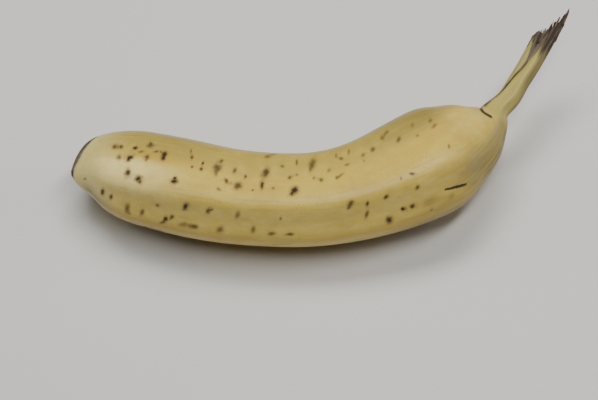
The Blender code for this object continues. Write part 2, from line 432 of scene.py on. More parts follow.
on_stem = smooth_step(station, *RIBBED_STATIONS)
at_tip = bump(station, PUCKER_SPREAD) * (1 - into_scar)
circle = np.stack((station * CIRCLE_STEP, np.cos(angle), np.sin(angle)), axis=1)
lumps = LUMP_HEIGHT * noise_at(straight, LUMP_GRAIN, seed=3.1) * (1 - on_stem)
dimples = DIMPLE_HEIGHT * noise_at(straight, DIMPLE_GRAIN, seed=7.7)
puckers = PUCKER_HEIGHT * noise_at(circle, PUCKER_GRAIN, seed=1.3) * at_tip
ribs = RIB_HEIGHT * noise_at(straight, RIB_GRAIN, seed=5.9) * on_stem
raised = lumps + dimples + puckers + ribs

torn = smooth_step(station, RIM_STATION, LAST_STATION)
fine_jag = np.abs((degrees / 360 * FINE_JAGS) % 1 - 0.5) * 2
jag_size = 0.5 + 0.5 * noise_at(circle, JAG_GRAIN, seed=9.2)
pushed = pushed + FINE_JAG_HEIGHT * (fine_jag * jag_size - JAG_SINK) * torn**2 * (1 - into_tear)
for high_deg, spread_deg, reach in TORN_LIPS:
    lip = bump(turn_between(degrees, high_deg), spread_deg)
    pushed = pushed + reach * lip * torn * (1 - into_tear)
rough = noise_at(straight * inset[:, None], TORN_GRAIN, seed=4.4)
pushed = pushed + TORN_ROUGHNESS * rough * into_tear

# Flecks
# Ripening leaves brown-black flecks on the peel. Those on the near side lie where the picture
# has them, and the rest are strewn over the far side. The shoulder has one long nick.
FLECKS = [
    # across px, down px, length px, width px, lean degrees, darkness
    (115, 146.3, 5, 4.2, 20, 0.52), (120.6, 146.7, 4.6, 3.6, 60, 0.52), (135, 148.1, 5, 3.4, 30, 0.80),
    (150.6, 144.2, 5, 3.4, 80, 0.55), (150.4, 146, 7.5, 3, 5, 0.45), (140.2, 151.5, 5, 2, 15, 0.40),
    (156.3, 151.4, 4, 2, 10, 0.45), (118.7, 157, 4.6, 4.2, 30, 0.46), (129.4, 158.5, 6, 4.6, 60, 0.90),
    (132, 157, 5, 3.8, 40, 0.90), (146.9, 157.2, 5, 4, 30, 0.52), (146.2, 160, 3, 2.5, 80, 0.50),
    (165.4, 155.2, 6.2, 5, 50, 0.95), (164, 158, 5.2, 4.4, 60, 0.90), (128.6, 172.5, 7.5, 5.5, 80, 0.65),
    (138.9, 179, 6.8, 5.6, 10, 0.70), (140.5, 182.5, 3.5, 2, -60, 0.50), (174.7, 180.8, 6.5, 5, 0, 0.90),
    (174.6, 178.2, 3, 3, 90, 0.75), (103.3, 192.2, 6, 3.4, 90, 0.75), (111.6, 197, 5.2, 3, 75, 0.55),
    (126.3, 208, 8, 4.6, 80, 0.46), (128.6, 212.6, 5, 2.5, -20, 0.35), (142.2, 213.3, 6, 3.8, 65, 0.45),
    (156.7, 205.6, 3.4, 3, 0, 0.42), (185.7, 206.3, 6.8, 4.8, 60, 0.72), (167, 218.5, 5, 4.4, 60, 0.72),
    (171, 217.8, 4.5, 3.4, 55, 0.55), (194.4, 226.7, 8, 4.2, 0, 0.50), (209.2, 211.3, 6, 3.8, 50, 0.52),
    (212.8, 210.2, 2.4, 2, 0, 0.45), (220.5, 229, 7, 5.4, 45, 0.44), (237.9, 214.8, 7.5, 4, 70, 0.38),
    (251.7, 229.8, 6, 3.8, 75, 0.40), (190.8, 151.7, 4.4, 2, 85, 0.35), (193, 157.3, 4.2, 3, 80, 0.60),
    (192.4, 167.2, 2.2, 2.2, 0, 0.60), (204, 162.8, 2.8, 2.2, 80, 0.75), (201.7, 169.4, 3.5, 3.2, 0, 0.60),
    (217.8, 167.6, 8, 7, 40, 0.52), (215.8, 171.8, 6.5, 4, 70, 0.46), (221.9, 161.3, 3.6, 3, 0, 0.50),
    (235.9, 170.6, 5, 3.6, 70, 0.50), (225, 181.2, 5, 3.4, -50, 0.55), (217.4, 188.3, 4.4, 2.4, -45, 0.40),
    (236.9, 185.2, 7.6, 6.6, 15, 0.54), (246.7, 177.2, 3.2, 2.4, 80, 0.50), (253.2, 190.8, 2, 2, 0, 0.50),
    (267.2, 172.5, 8.4, 6, 70, 0.60), (262.5, 175.3, 6, 4, 30, 0.36), (263.3, 184.8, 7.5, 3.6, 85, 0.75),
    (273.3, 187.8, 3, 2.4, 0, 0.45), (282.8, 166.1, 3.6, 3, 0, 0.42), (290.2, 178, 4.2, 3.4, 50, 0.48),
    (297.4, 161.7, 5, 2.2, 90, 0.45), (297.2, 174.4, 3, 2.5, 0, 0.33), (311.4, 163.5, 11, 5.6, 75, 0.50),
    (309.8, 168.2, 6, 3, 70, 0.44), (313.1, 178.1, 3, 3, 0, 0.36), (321.1, 180.3, 4, 3.6, 45, 0.48),
    (295.2, 189.8, 7, 6.2, 40, 0.95), (292, 193, 5.4, 4.6, 35, 0.90), (328.3, 170.6, 4.4, 3, 45, 0.30),
    (336.7, 155.6, 4, 2, 85, 0.35), (341.1, 159.4, 3.6, 3, 0, 0.50), (348.9, 152.6, 5, 2, 80, 0.36),
    (346.4, 165.3, 4.4, 2.4, 20, 0.40), (337.6, 177.6, 3.8, 3.2, 45, 0.46), (341.5, 174.8, 6, 1.6, 40, 0.40),
    (363.9, 154.1, 4.2, 3, 40, 0.36), (363.3, 160.8, 2.5, 2, 0, 0.28), (373.3, 149.4, 5, 3.8, 45, 0.42),
    (381.9, 137.8, 4.6, 3.8, 80, 0.34), (386.7, 132.4, 4.4, 3, 45, 0.35), (398.5, 139.2, 6.4, 3.6, 65, 0.42),
    (411.7, 125, 4.4, 3.6, 80, 0.24), (417.2, 135.3, 3.2, 2.6, 30, 0.32), (430.3, 120, 4.2, 3.4, 70, 0.34),
    (433.7, 125.3, 6.2, 2.6, 40, 0.40), (449.1, 147, 4.2, 2, -80, 0.38), (411.3, 173.3, 5.6, 2.6, 0, 0.52),
    (400.6, 178.6, 3.2, 1.6, 90, 0.45), (417.4, 187.4, 4.8, 3.4, 60, 0.56), (387, 197.4, 4.6, 3.2, 45, 0.65),
    (350.6, 204.6, 8, 5, 60, 0.52), (349, 208.4, 4, 3.4, 70, 0.50), (366.4, 204.8, 4.8, 3, 70, 0.62),
    (367.7, 213.6, 8, 3, 70, 0.46), (403, 209.8, 4.4, 4.2, 0, 0.85), (412.8, 205.3, 5.6, 4, 35, 0.60),
    (389.6, 219.4, 6.6, 6, 70, 0.66), (430.6, 210.1, 3.4, 2.4, 35, 0.28), (270.9, 233.6, 7, 3.4, 5, 0.46),
    (288.1, 234.2, 6.6, 2.8, 5, 0.50), (279.4, 218.1, 3, 2.4, 80, 0.42), (266.5, 156.3, 5, 3.2, 10, 0.38),
    (273, 154.2, 8, 1.8, 10, 0.25), (161.7, 222.2, 5, 2.6, 20, 0.40), (182.8, 224.4, 9, 4, 0, 0.32),
    (85, 179, 2.4, 2, 0, 0.40), (428.9, 201, 14, 7, 20, 0.18), (451.7, 196.7, 7, 4, 45, 0.18),
]
FLECK_GROWTH = 1.20
LONGEST_FLECK = 3.6 * MM
FLECK_DEPTH = 0.06 * MM
FLECK_EDGE = (0.5, 1.2)
NO_FLECK = 9.0
NICK_FROM_PX = (445, 190.5)
NICK_TO_PX = (465.5, 183.6)
NICK_HALF_WIDTH = 0.75 * MM
NICK_FULLNESS = 1.15
NICK_WIDEST = 0.55
NICK_TAPER = 0.75
NICK_DEPTH = 0.35 * MM
NICK_EDGE = (0.2, 1.3)
FAR_SIDE_FLECKS = 75
FAR_SIDE_SEED = 41
FAR_SIDE_STATIONS = (0.6, 13.5)
FAR_SIDE_DEG = (150, 322)
FAR_SIDE_SIZES_MM = (0.6, 0.7, 0.9, 1.2, 1.6, 2.1)
FAR_SIDE_STRETCH = (0.8, 1.5)
FAR_SIDE_DARKNESS = (0.35, 1)
FACES_VIEW = 0.03
HIDDEN_PX = 1e6
NUDGE_STATIONS = 0.05
NUDGE_DEG = 1.0

smooth_places = on_skin(station, degrees, inset, pushed) + to_table
outward, upward = section_axes(station)[1:]
out_of_skin = np.cos(angle)[:, None] * outward + np.sin(angle)[:, None] * upward
towards_view = out_of_skin @ np.array(back)
picture_places = in_picture(smooth_places)
on_body = (inset == 1) & (station < LAST_STATION)


def seen_at(pixel):
    """The number of the point of the skin that shows nearest to a pixel."""
    away = np.linalg.norm(picture_places - np.array(pixel), axis=1)
    return int(np.argmin(np.where((towards_view > FACES_VIEW) & on_body, away, HIDDEN_PX)))


def picture_change(point):
    """How a place moves in the picture, in pixels per metre along the skin and round it."""
    stations = station[point] + np.array((0, NUDGE_STATIONS, 0))
    turns = degrees[point] + np.array((0, 0, NUDGE_DEG))
    seen = in_picture(on_skin(stations, turns, np.ones(3), np.zeros(3)) + to_table)
    step_along = np.interp(stations[1], fine_stations, length_along) - run[point]
    step_round = math.radians(NUDGE_DEG) * half_here[point]
    return np.stack(((seen[1] - seen[0]) / step_along, (seen[2] - seen[0]) / step_round), axis=1)


def spot_ways(half_length, half_width, lean):
    """Turns an offset, first across and then down, into shares of a spot's half sizes."""
    long_way = np.array((math.cos(lean), -math.sin(lean))) / half_length
    wide_way = np.array((math.sin(lean), math.cos(lean))) / half_width
    return np.array((long_way, wide_way))


spots = []
for px_across, px_down, length_px, width_px, lean_deg, darkness in FLECKS:
    point = seen_at((px_across, px_down))
    ways = spot_ways(length_px / 2, width_px / 2, math.radians(lean_deg))
    left, shares, right = np.linalg.svd(ways @ picture_change(point) / FLECK_GROWTH)
    to_spot = left @ np.diag(np.maximum(shares, 1 / LONGEST_FLECK)) @ right
    spots.append((run[point], degrees[point], to_spot, darkness))
draw = random.Random(FAR_SIDE_SEED)
for _ in range(FAR_SIDE_FLECKS):
    spot_station = draw.uniform(*FAR_SIDE_STATIONS)
    spot_degrees = draw.uniform(*FAR_SIDE_DEG)
    size = draw.choice(FAR_SIDE_SIZES_MM) * MM
    to_spot = spot_ways(size * draw.uniform(*FAR_SIDE_STRETCH), size, draw.uniform(0, math.pi))
    spot_run = float(np.interp(spot_station, fine_stations, length_along))
    spots.append((spot_run, spot_degrees, to_spot, draw.uniform(*FAR_SIDE_DARKNESS)))

fleck = np.full(len(run), NO_FLECK)
fleck_tone = np.zeros(len(run))
from_fleck = np.full((len(run), 3), NO_FLECK)
for spot_run, spot_degrees, to_spot, darkness in spots:
    round_skin = np.radians(turn_between(degrees, spot_degrees)) * half_here
    offset = np.stack((run - spot_run, round_skin), axis=1) @ to_spot.T
    away = np.linalg.norm(offset, axis=1)
    nearer = away < fleck
    fleck_tone[nearer] = darkness
    from_fleck[nearer, :2] = offset[nearer]
    from_fleck[nearer, 2] = 0
    fleck = np.minimum(fleck, away)

nick_start = smooth_places[seen_at(NICK_FROM_PX)]
nick_line = smooth_places[seen_at(NICK_TO_PX)] - nick_start
nick_share = np.clip((smooth_places - nick_start) @ nick_line / (nick_line @ nick_line), 0, 1)
nick_taper = NICK_HALF_WIDTH * (NICK_FULLNESS - NICK_TAPER * np.abs(nick_share - NICK_WIDEST))
nick_away = np.linalg.norm(smooth_places - nick_start - nick_share[:, None] * nick_line, axis=1)
nick = np.minimum(nick_away / nick_taper, NO_FLECK)
raised = raised - NICK_DEPTH * (1 - smooth_step(nick, *NICK_EDGE))
raised = raised - FLECK_DEPTH * fleck_tone * (1 - smooth_step(fleck, *FLECK_EDGE))

# Marks
# The blossom end has a dry patch, dark lines run in the fold and in the groove, partly browning
# and partly painted shade, and the stem is dead from the tear down. A painted highlight lies
# along the face that the front light reaches, with more on the blossom end and the shoulder;
# painted light lifts the outer face, and painted shade darkens the inner side, the top edge,
# the shoulder, the lower edges and the stem's far side. A span is a start, an end, and the
# fade inside each.
DRY_PATCH_TOWARDS = np.array((-0.69, 0.71, -0.13))
DRY_PATCH_DEPTH = 8.5 * MM
DRY_TIP_RADIUS = SCAR_RADIUS * 1.5

CREASE_DEG = 118
CREASE_SPAN_DEG = (-56, 56, 17)
CREASE_WIDTH = 0.13
GROOVE_LINE_DEG = 8
NEAR_FLARE_DEG = 18
NEAR_FLARE_END = (16.6, 17.9)
FAR_FLARE_DEG = 13
FAR_FLARE_SPAN = (15.8, 18.2, 0.8)

DEAD_STATION = 19.40
LIVE_STRIP_DEG = 160
LIVE_STRIP_SPAN_DEG = (-52, 52, 14)
LIVE_STRIP_RISE = 0.38
DEAD_GROOVE_DROP = 0.25
DEAD_GROOVE_DEG = 13
GREY_DEG = 92
GREY_SPREAD_DEG = 26

NECK_STATIONS = (14.6, 15.6)
SCUFFED_CREST_DEG = 12
SCUFFED_CREST_START = (1, 3)
# Painted highlight: the angle of the pale band round the body, where it turns up at the shoulder, and where
# it fades out.
HIGHLIGHT_DEG = 65
HIGHLIGHT_RISE_DEG = 30
HIGHLIGHT_RISE_STATIONS = (8.5, 15)
HIGHLIGHT_FACE_SPAN_DEG = (-34, 20, 14)
HIGHLIGHT_FACE_END = (2.8, 4.8)
HIGHLIGHT_TIP_STRENGTH = 0.75
HIGHLIGHT_TIP_END = (0.8, 3.2)
# Painted shade: the inner side, past the highlight band, is darkened.
INNER_SHADE_SPAN_DEG = (15, 215, 27)
INNER_SHADE_GAIN = 0.6
INNER_SHADE_GAIN_DEG = (42, 62)
# Painted light: the outer face above the lower crest is lightened.
LIT_OUTER_FACE_SPAN_DEG = (0, 52, 16)
LIT_OUTER_FACE_END = (9.5, 12)

# The shoulder's painted highlight, then patches of painted shade on the shoulder, the lower edges and the
# blossom end's lower edge.
# strength, span in stations, degrees at its start and end, turning between, spread in degrees
HIGHLIGHT_SHOULDER = (0.30, (10.2, 99, 2.8), 88, 88, (10, 14), 34)
SHADE_PATCHES = [
    (1.15, (10.0, 99, 1.8), 24, 24, (10, 14), 23),
    (1.40, (8.4, 16.0, 1.5), 330, 370, (9, 14), 24),
    (0.55, (9.3, 11.6, 0.8), 8, 8, (9, 14), 14),
    (1.40, (0.2, 5.0, 0.9), 352, 330, (1, 3), 22),
]
# Painted shade along the top edge, down the stem's far side and beside the groove.
# strength, span in stations
SHADE_TOP_BANDS = [
    (0.5, (8.2, 14.4, 2.0)),
    (0.4, (1.0, 5.2, 1.4)),
]
SHADE_TOP_SPAN_DEG = (14, 120, 22)
SHADE_CORE_STRENGTH = 0.4
SHADE_CORE_STATION = 11.2
SHADE_CORE_SPREAD = 1.1
SHADE_STEM_STRENGTH = 2.0
SHADE_STEM_DEG = (24, 56)
SHADE_STEM_STATIONS = (15.8, 18.8)
SHADE_STEM_SPAN_DEG = (-120, 12, 50)
SHADE_STRIP_STRENGTH = 0.5
SHADE_STRIP_SPAN_DEG = (5, 110, 12)
SHADE_STRIP_START = (16.8, 18)


def between(value, low, high, fade):
    """Near 1 between two values and 0 outside them, eased over the fade inside each."""
    return smooth_step(value, low, low + fade) * (1 - smooth_step(value, high - fade, high))


def patch(strength, span, start_deg, end_deg, turning, spread_deg):
    """A soft patch of the skin, whose middle may turn from one angle to another."""
    middle_deg = start_deg + (end_deg - start_deg) * smooth_step(station, *turning)
    across_patch = bump(turn_between(degrees, middle_deg), spread_deg)
    return strength * between(station, *span) * across_patch


from_crest = ridge_places(station, degrees)[2]
from_lower_crest = turn_between(degrees, RIDGES_DEG[0] + twist_at(station))
crease_reach = between(turn_between(degrees, CREASE_DEG), *CREASE_SPAN_DEG)
past_groove = from_groove(station, degrees)
near_half_deg = GROOVE_LINE_DEG + NEAR_FLARE_DEG * (1 - smooth_step(station, *NEAR_FLARE_END))
far_half_deg = GROOVE_LINE_DEG + FAR_FLARE_DEG * between(station, *FAR_FLARE_SPAN)
on_live_strip = between(turn_between(degrees, LIVE_STRIP_DEG), *LIVE_STRIP_SPAN_DEG)
dead_from = DEAD_STATION + LIVE_STRIP_RISE * on_live_strip
dead_from = dead_from - DEAD_GROOVE_DROP * bump(past_groove, DEAD_GROOVE_DEG)
towards_patch = smooth_places @ DRY_PATCH_TOWARDS
dry_patch = (towards_patch - towards_patch.max() + DRY_PATCH_DEPTH) / MM
from_scar = np.linalg.norm(smooth_places - smooth_places[into_scar > 0].mean(axis=0), axis=1)
dry_tip = (DRY_TIP_RADIUS - from_scar) / MM

off_stem = 1 - smooth_step(station, *NECK_STATIONS)
# Painted highlight: a pale band along the face that the front light reaches, with more on the blossom end
# and the shoulder.
highlight_deg = HIGHLIGHT_DEG + HIGHLIGHT_RISE_DEG * smooth_step(station, *HIGHLIGHT_RISE_STATIONS)
past_highlight = (degrees - highlight_deg) % 360
highlight_face = between(turn_between(past_highlight, 0), *HIGHLIGHT_FACE_SPAN_DEG)
highlight_face = highlight_face * (1 - smooth_step(station, *HIGHLIGHT_FACE_END))
highlight_tip = HIGHLIGHT_TIP_STRENGTH * (1 - smooth_step(station, *HIGHLIGHT_TIP_END))
highlight_shoulder = patch(*HIGHLIGHT_SHOULDER) * off_stem
# Painted shade on the inner side.
inner_shade = between(past_highlight, *INNER_SHADE_SPAN_DEG) * (1 - on_stem)
inner_shade = inner_shade * (1 + INNER_SHADE_GAIN * smooth_step(past_highlight, *INNER_SHADE_GAIN_DEG))
# Painted light on the outer face.
lit_outer_face = between(from_lower_crest, *LIT_OUTER_FACE_SPAN_DEG) * (1 - smooth_step(station, *LIT_OUTER_FACE_END))

# Painted shade: darker along the top edge, on the shoulder and the lower edges, down the stem's far side and
# beside the groove.
shade_top = sum(strength * between(station, *span) for strength, span in SHADE_TOP_BANDS)
shade_core = SHADE_CORE_STRENGTH * bump(station - SHADE_CORE_STATION, SHADE_CORE_SPREAD)
shade_top = (shade_top + shade_core) * between(past_highlight, *SHADE_TOP_SPAN_DEG)
shade_body = np.max([patch(*row) for row in SHADE_PATCHES] + [shade_top], axis=0)
stem_turn = smooth_step(station, *SHADE_STEM_STATIONS)
stem_edge_deg = SHADE_STEM_DEG[0] + (SHADE_STEM_DEG[1] - SHADE_STEM_DEG[0]) * stem_turn
shade_stem = between(turn_between(degrees, stem_edge_deg), *SHADE_STEM_SPAN_DEG) * (1 - off_stem)
shade_strip = between(past_groove, *SHADE_STRIP_SPAN_DEG) * smooth_step(station, *SHADE_STRIP_START)
shade_stem = SHADE_STEM_STRENGTH * shade_stem + SHADE_STRIP_STRENGTH * shade_strip

peel_places = on_skin(station, degrees, inset, pushed, raised) + to_table
peel.data.vertices.foreach_set("co", peel_places.ravel())
keep_in_box(peel)
marks = {
    "straight": straight,
    "even": even,
    "station": station,
    "fleck": fleck,
    "from_fleck": from_fleck,
    "fleck_tone": fleck_tone,
    "nick": nick,
    "crease": bump(from_fold(station, degrees), CREASE_WIDTH) * crease_reach,
    "groove": np.abs(past_groove) / np.where(past_groove > 0, far_half_deg, near_half_deg),
    "dead": station + into_tear - dead_from,
    "dead_grey": bump(turn_between(degrees, GREY_DEG), GREY_SPREAD_DEG),
    "dry_end": np.maximum(dry_patch, dry_tip),
    "crest": bump(from_crest, SCUFFED_CREST_DEG) * smooth_step(station, *SCUFFED_CREST_START),
    "lower_crest": from_lower_crest,
    # Painted shade on the inner side.
    "inner_shade": inner_shade,
    # Painted light on the outer face.
    "lit_outer_face": lit_outer_face,
    # Painted highlight.
    "painted_highlight": np.max((highlight_tip, highlight_shoulder, highlight_face), axis=0),
    # Painted shade.
    "painted_shade": np.maximum(shade_body * off_stem, shade_stem),
}
for name, values in marks.items():
    keep_on_points(peel, name, values)
face_outwards()
bpy.ops.object.shade_smooth()

# Ripe peel
# The peel is a warm, muted yellow under a thin wax, clouded and finely streaked along the fruit
# and greener at both ends, the blossom end also lighter as painted light. The marks are laid over
# it one by one, with the painted highlight, painted light, painted shade and a painted reflection
# of the floor among them, and where the skin is dead it shows dry fibre. A ramp is two values of
# a pattern, and the share of the colour at each.
DRY_BLACK = (0.014, 0.010, 0.007, 1)
DRY_BROWN = (0.072, 0.047, 0.028, 1)
DRY_STRAW = (0.300, 0.220, 0.130, 1)
STRAND_GRAIN = (110, 1500, 1500)
STRAND_PATCH_GRAIN = (180, 260, 260)
BROWN_STRANDS = (0.3, 0.7)
PALE_STRANDS = (0.56, 0.70)
PALE_PATCHES = (0.42, 0.62)

PEEL_YELLOW = (0.570, 0.410, 0.065, 1)
# Pale mottle, and the painted light on the outer face.
PALE_AND_LIT_COLOUR = (0.650, 0.500, 0.130, 1)
PEEL_DEEP = (0.470, 0.315, 0.045, 1)
# Painted reflection of the floor along the lower edge.
REFLECTION_COLOUR = (0.700, 0.560, 0.220, 1)
# Painted highlight.
HIGHLIGHT_COLOUR = (0.760, 0.620, 0.220, 1)
# Dull smudges, and the painted shade on the inner side.
DULL_AND_SHADE_COLOUR = (0.330, 0.260, 0.060, 1)
# Painted shade.
SHADE_COLOUR = (0.175, 0.134, 0.042, 1)
# Greener at the blossom end, and lighter there as painted light.
TIP_GREEN_AND_LIGHT = (0.600, 0.545, 0.190, 1)
STEM_GREEN = (0.355, 0.318, 0.090, 1)
DEAD_GREY = (0.190, 0.150, 0.100, 1)
BRUISE_BROWN = (0.170, 0.095, 0.035, 1)
FLECK_BROWN = (0.030, 0.017, 0.009, 1)
FLECK_HALO = (0.230, 0.135, 0.040, 1)
# Dark lines in the fold and the groove: partly browning, partly painted shade.
LINE_BROWN_AND_SHADE = (0.038, 0.024, 0.012, 1)

CLOUD_GRAIN = (28, 42, 42)
MOTTLE_GRAIN = (170, 260, 260)
STREAK_GRAIN = (45, 900, 900)
PORE_GRAIN = (1500, 2100, 2100)
SMUDGE_GRAIN = (75, 150, 150)
FRECKLE_GRAIN = (1250, 1450, 1450)
FLECK_GRAIN = (480, 480, 480)
RAGGED_GRAIN = (900, 900, 900)
DEAD_EDGE_GRAIN = (70, 800, 800)
GREY_GRAIN = (130, 700, 700)

YELLOW_CLOUDS = (0.30, 0.70)
PEEL_LAYERS = [
    # area or None, pattern, ramp, colour
    (None, "mottle", (0.50, 0.80, 0, 0.45), PALE_AND_LIT_COLOUR),
    (None, "streaks", (0.45, 0.75, 0, 0.22), PEEL_DEEP),
    # Painted light on the outer face.
    ("lit_outer_face", "mottle", (0.3, 0.7, 0.35, 0.70), PALE_AND_LIT_COLOUR),
    # Painted shade on the inner side.
    ("inner_shade", "mottle", (0.3, 0.7, 0.65, 0.40), DULL_AND_SHADE_COLOUR),
    # Painted highlight.
    ("painted_highlight", "mottle", (0.2, 0.6, 0.65, 1.0), HIGHLIGHT_COLOUR),
    # Greener and, as painted light, lighter at the blossom end.
    (None, "station", (2.6, 0.6, 0, 0.45), TIP_GREEN_AND_LIGHT),
    (None, "station", (13.5, 16.0, 0, 0.8), STEM_GREEN),
    # Painted shade.
    ("painted_shade", "streaks", (0.3, 0.6, 0.45, 0.80), SHADE_COLOUR),
    ("crest", "streaks", (0.52, 0.72, 0, 0.25), BRUISE_BROWN),
]
SMUDGE_RAMP = (0.48, 0.72, 0, 0.34)
# Painted reflection of the floor: a pale strip just above the lower edge.
REFLECTED_LOW_EDGE_DEG = (-24, -14)
REFLECTED_HIGH_EDGE_DEG = (2, -6)
REFLECTED_MOTTLE = (0.3, 0.5)
REFLECTED_STATIONS = (9.6, 7.6, 0, 0.6)
FRECKLE_RAMP = (0.66, 0.74, 0, 0.55)
FRECKLE_CLOUDS = (0.42, 0.62)
FLECK_ROUNDING = 0.35
FLECK_STRENGTH = (-0.12, 0.78)
FLECK_CORE_RAMP = (1.30, 0.25)
FLECK_HALO_RAMP = (1.8, 0.9, 0, 0.45)
NICK_RAMP = (1.35, 0.8)
GROOVE_RAMP = (1.25, 0.65, 0, 0.92)
GROOVE_LINE_START = (15.1, 15.35)
CREASE_RAMP = (0.22, 0.55, 0, 0.95)
DEAD_STEM_RAMP = (-0.16, 0.14)
DEAD_TIP_RAMP = (-0.4, 0.5)
TIP_BRUISE_RAMP = (-1.8, 0.4, 0, 0.85)
GREY_RAMP = (0.38, 0.60, 0.15, 0.95)

RAGGED_REACH = 1.3
FLECK_FRAY = 0.4
NICK_FRAY = 0.6
GROOVE_FRAY = 0.4
CREASE_FRAY = 0.15
TIP_FRAY = 0.9
TIP_WANDER = 3.0
DEAD_EDGE_REACH = 0.8

WAXY_ROUGHNESS = (0.3, 0.7, 0.40, 0.52)
DRY_ROUGHNESS = 0.25
WAX_COAT = (0, 1, 0.18, 0)
WAX_COAT_ROUGHNESS = 0.35
PEEL_SPECULAR = 0.42
PORE_RELIEF = 0.25
STREAK_RELIEF = 0.5
DEAD_RELIEF = 3.0
FLECK_RELIEF = 0.6
PEEL_BUMP = 0.6
PEEL_BUMP_HEIGHT = 0.12 * MM


def add_node(tree, kind, inputs=(), **settings):
    """Adds a node. Inputs are (socket name or number, value or the socket that feeds it)."""
    made = tree.nodes.new(kind)
    for name, value in settings.items():
        setattr(made, name, value)
    for socket, value in inputs:
        if isinstance(value, bpy.types.NodeSocket):
            tree.links.new(value, made.inputs[socket])
        else:
            made.inputs[socket].default_value = value
    return made


def calculate(tree, operation, first, second):
    return add_node(tree, "ShaderNodeMath", ((0, first), (1, second)), operation=operation).outputs[0]


def times(tree, first, second):
    return calculate(tree, "MULTIPLY", first, second)


def plus(tree, first, second):
    return calculate(tree, "ADD", first, second)


def ease(tree, value, low, high, to_low=0, to_high=1):
    """Eases from one value to another while value goes from low to high."""
    sockets = [("Value", value), ("From Min", low), ("From Max", high)]
    sockets += [("To Min", to_low), ("To Max", to_high)]
    return add_node(tree, "ShaderNodeMapRange", sockets, interpolation_type="SMOOTHSTEP").outputs[0]


def blend_colours(tree, share, first, second):
    sockets = ((0, share), (6, first), (7, second))
    return add_node(tree, "ShaderNodeMix", sockets, data_type="RGBA").outputs[2]


def read_value(tree, name):
    return add_node(tree, "ShaderNodeAttribute", attribute_name=name).outputs["Fac"]


def read_vector(tree, name):
    return add_node(tree, "ShaderNodeAttribute", attribute_name=name).outputs["Vector"]


def grain(tree, place, stretch, detail=3.0, roughness=0.55):
    """Noise from 0 to 1 in a place that is stretched by a size per metre each way."""
    mapped = add_node(tree, "ShaderNodeMapping", (("Vector", place), ("Scale", stretch))).outputs[0]
    sockets = (("Vector", mapped), ("Scale", 1.0), ("Detail", detail), ("Roughness", roughness))
    return add_node(tree, "ShaderNodeTexNoise", sockets).outputs["Fac"]


def swing(tree, pattern, reach=1.0):
    """A pattern of noise that is made to swing to both sides of 0."""
    return times(tree, calculate(tree, "SUBTRACT", pattern, 0.5), reach)


def fray(tree, edge, ragged, reach):
    """Makes the edge of a mark ragged."""
    return plus(tree, edge, times(tree, ragged, reach))


def add_material(piece, name, specular, roughness=0.5):
    """Gives the piece a new material, whose node tree and shader it returns."""
    made = bpy.data.materials.new(name)
    made.use_nodes = True
    piece.data.materials.append(made)
    shader = made.node_tree.nodes["Principled BSDF"]
    shader.inputs["Specular IOR Level"].default_value = specular
    shader.inputs["Roughness"].default_value = roughness
    return made.node_tree, shader


def add_bump(tree, shader, strength, distance, height):
    sockets = (("Strength", strength), ("Distance", distance), ("Height", height))
    bumped = add_node(tree, "ShaderNodeBump", sockets)
    tree.links.new(bumped.outputs[0], shader.inputs["Normal"])


def dry_fibre_group():
    """Dead, dried plant fibre: dark brown strands with a few straw-coloured ones."""
    group = bpy.data.node_groups.new("dry_fibre", "ShaderNodeTree")
    group.interface.new_socket("Place", in_out="INPUT", socket_type="NodeSocketVector")
    fineness = group.interface.new_socket("Fineness", in_out="INPUT", socket_type="NodeSocketFloat")
    fineness.default_value = 1.0
    group.interface.new_socket("Colour", in_out="OUTPUT", socket_type="NodeSocketColor")
    group.interface.new_socket("Relief", in_out="OUTPUT", socket_type="NodeSocketFloat")
    given = group.nodes.new("NodeGroupInput")
    sockets = ((0, given.outputs["Place"]), ("Scale", given.outputs["Fineness"]))
    finer = add_node(group, "ShaderNodeVectorMath", sockets, operation="SCALE").outputs[0]
    strands = grain(group, finer, STRAND_GRAIN, detail=4.0)
    patches = grain(group, finer, STRAND_PATCH_GRAIN, detail=2.0)
    dark = blend_colours(group, ease(group, strands, *BROWN_STRANDS), DRY_BLACK, DRY_BROWN)
    pale = times(group, ease(group, strands, *PALE_STRANDS), ease(group, patches, *PALE_PATCHES))
    result = group.nodes.new("NodeGroupOutput")
    group.links.new(blend_colours(group, pale, dark, DRY_STRAW), result.inputs["Colour"])
    group.links.new(strands, result.inputs["Relief"])
    return group


dry_fibre = dry_fibre_group()
tree, shader = add_material(peel, "ripe_peel", PEEL_SPECULAR)
place = read_vector(tree, "straight")
station_value = read_value(tree, "station")
clouds = grain(tree, place, CLOUD_GRAIN)
mottle = grain(tree, place, MOTTLE_GRAIN, detail=4.0)
streaks = grain(tree, read_vector(tree, "even"), STREAK_GRAIN)
pores = grain(tree, place, PORE_GRAIN, detail=2.0)
smudges = grain(tree, place, SMUDGE_GRAIN, detail=5.0, roughness=0.65)
freckles = grain(tree, place, FRECKLE_GRAIN, detail=1.0, roughness=0.4)
ragged = swing(tree, grain(tree, place, RAGGED_GRAIN), RAGGED_REACH)
patterns = {"mottle": mottle, "streaks": streaks, "station": station_value}

colour = blend_colours(tree, ease(tree, clouds, *YELLOW_CLOUDS), PEEL_DEEP, PEEL_YELLOW)
for area, pattern, ramp, layer_colour in PEEL_LAYERS:
    share = ease(tree, patterns[pattern], *ramp)
    if area:
        share = times(tree, share, read_value(tree, area))
    colour = blend_colours(tree, share, colour, layer_colour)
# The smudges are kept off the painted highlight.
unlit = calculate(tree, "SUBTRACT", 1, read_value(tree, "painted_highlight"))
smudge_share = times(tree, ease(tree, smudges, *SMUDGE_RAMP), unlit)
colour = blend_colours(tree, smudge_share, colour, DULL_AND_SHADE_COLOUR)

